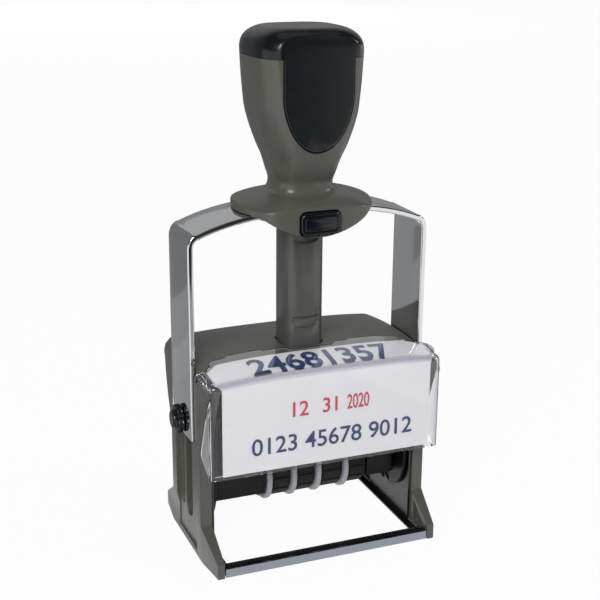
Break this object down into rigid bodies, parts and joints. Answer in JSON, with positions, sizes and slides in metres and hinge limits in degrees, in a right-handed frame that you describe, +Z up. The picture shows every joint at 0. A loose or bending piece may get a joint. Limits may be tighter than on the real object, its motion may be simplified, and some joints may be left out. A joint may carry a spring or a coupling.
{
  "type": "self-inking date stamp",
  "caption": "Self-inking date stamp with a chrome yoke, grey grip and housing, turning die carriage, date wheels and a label card under a clear cover.",
  "frame": {"origin": "centre of the rectangle that the feet stand on, at the height of their undersides", "axes": "+Z up along the handle's press, +X to the right along the axle and the label's writing line, front with the label card towards -Y"},
  "size_m": [0.0954, 0.0616, 0.1823],
  "materials": {
    "grey_plastic": "satin moulded warm grey",
    "column_plastic": "smooth grey",
    "black_plastic": "satin black",
    "chrome": "bright plated",
    "steel": "plain plated steel",
    "card": "matt white card",
    "clear_plastic": "clear moulded plastic",
    "ink_foam": "inked felt",
    "die_rubber": "dull moulded rubber",
    "wheel_plastic": "light grey moulding"
  },
  "bodies": {
    "base": {"housing": "grey_plastic", "column": "column_plastic", "front_rail": "chrome", "rear_rail": "chrome", "front_rail_strip": "black_plastic", "rear_rail_strip": "black_plastic", "left_side_plate": "steel", "right_side_plate": "steel", "left_cam_plate": "black_plastic", "right_cam_plate": "black_plastic", "label_card": "card"},
    "press": {"yoke": "chrome", "handle": "grey_plastic", "handle_cap": "black_plastic", "guide_rod": "steel", "return_spring": "steel", "yoke_clamp": "grey_plastic", "left_clamp_screw": "steel", "right_clamp_screw": "steel", "main_axle": "steel", "left_axle_bush": "black_plastic", "right_axle_bush": "black_plastic", "left_axle_nut": "black_plastic", "right_axle_nut": "black_plastic"},
    "lock": {"lock_button": "black_plastic"},
    "carriage": {"carriage_frame": "black_plastic", "die_plate": "black_plastic", "front_text_die": "die_rubber", "rear_text_die": "die_rubber", "band_bridge": "steel", "wheel_axle": "steel", "month_band": "die_rubber", "tens_band": "die_rubber", "units_band": "die_rubber", "year_band": "die_rubber"},
    "month_dial": {"month_wheel": "wheel_plastic"},
    "tens_dial": {"tens_wheel": "wheel_plastic"},
    "units_dial": {"units_wheel": "wheel_plastic"},
    "year_dial": {"year_wheel": "wheel_plastic"},
    "pad": {"pad_tray": "black_plastic", "ink_pad": "ink_foam"},
    "cover": {"clear_cover": "clear_plastic"}
  },
  "joints": [
    {"name": "handle_press", "type": "slide", "parent": "base", "child": "press", "axis": [0, 0, -1], "range_m": [0, 0.0346], "stiffness_N_per_m": 250, "springref_m": -0.03, "deforming": ["return_spring"]},
    {"name": "carriage_flip", "type": "hinge", "parent": "press", "child": "carriage", "pos_m": [0, 0, 0.0483], "axis": [1, 0, 0], "range_deg": [0, 180]},
    {"name": "lock_slide", "type": "slide", "parent": "press", "child": "lock", "axis": [0, 1, 0], "range_m": [0, 0.0018], "stiffness_N_per_m": 300, "springref_m": -0.001},
    {"name": "pad_slide", "type": "slide", "parent": "base", "child": "pad", "axis": [0, 1, 0], "range_m": [0, 0.04]},
    {"name": "cover_slide", "type": "slide", "parent": "base", "child": "cover", "axis": [0, -1, 0], "range_m": [0, 0.014]},
    {"name": "month_turn", "type": "hinge", "parent": "carriage", "child": "month_dial", "pos_m": [0, 0, 0.0227], "axis": [1, 0, 0], "continuous": true},
    {"name": "tens_turn", "type": "hinge", "parent": "carriage", "child": "tens_dial", "pos_m": [0, 0, 0.0227], "axis": [1, 0, 0], "continuous": true},
    {"name": "units_turn", "type": "hinge", "parent": "carriage", "child": "units_dial", "pos_m": [0, 0, 0.0227], "axis": [1, 0, 0], "continuous": true},
    {"name": "year_turn", "type": "hinge", "parent": "carriage", "child": "year_dial", "pos_m": [0, 0, 0.0227], "axis": [1, 0, 0], "continuous": true}
  ],
  "couplings": [
    {"joint": "carriage_flip", "follows": "handle_press", "rad_per_m": 90.79}
  ]
}
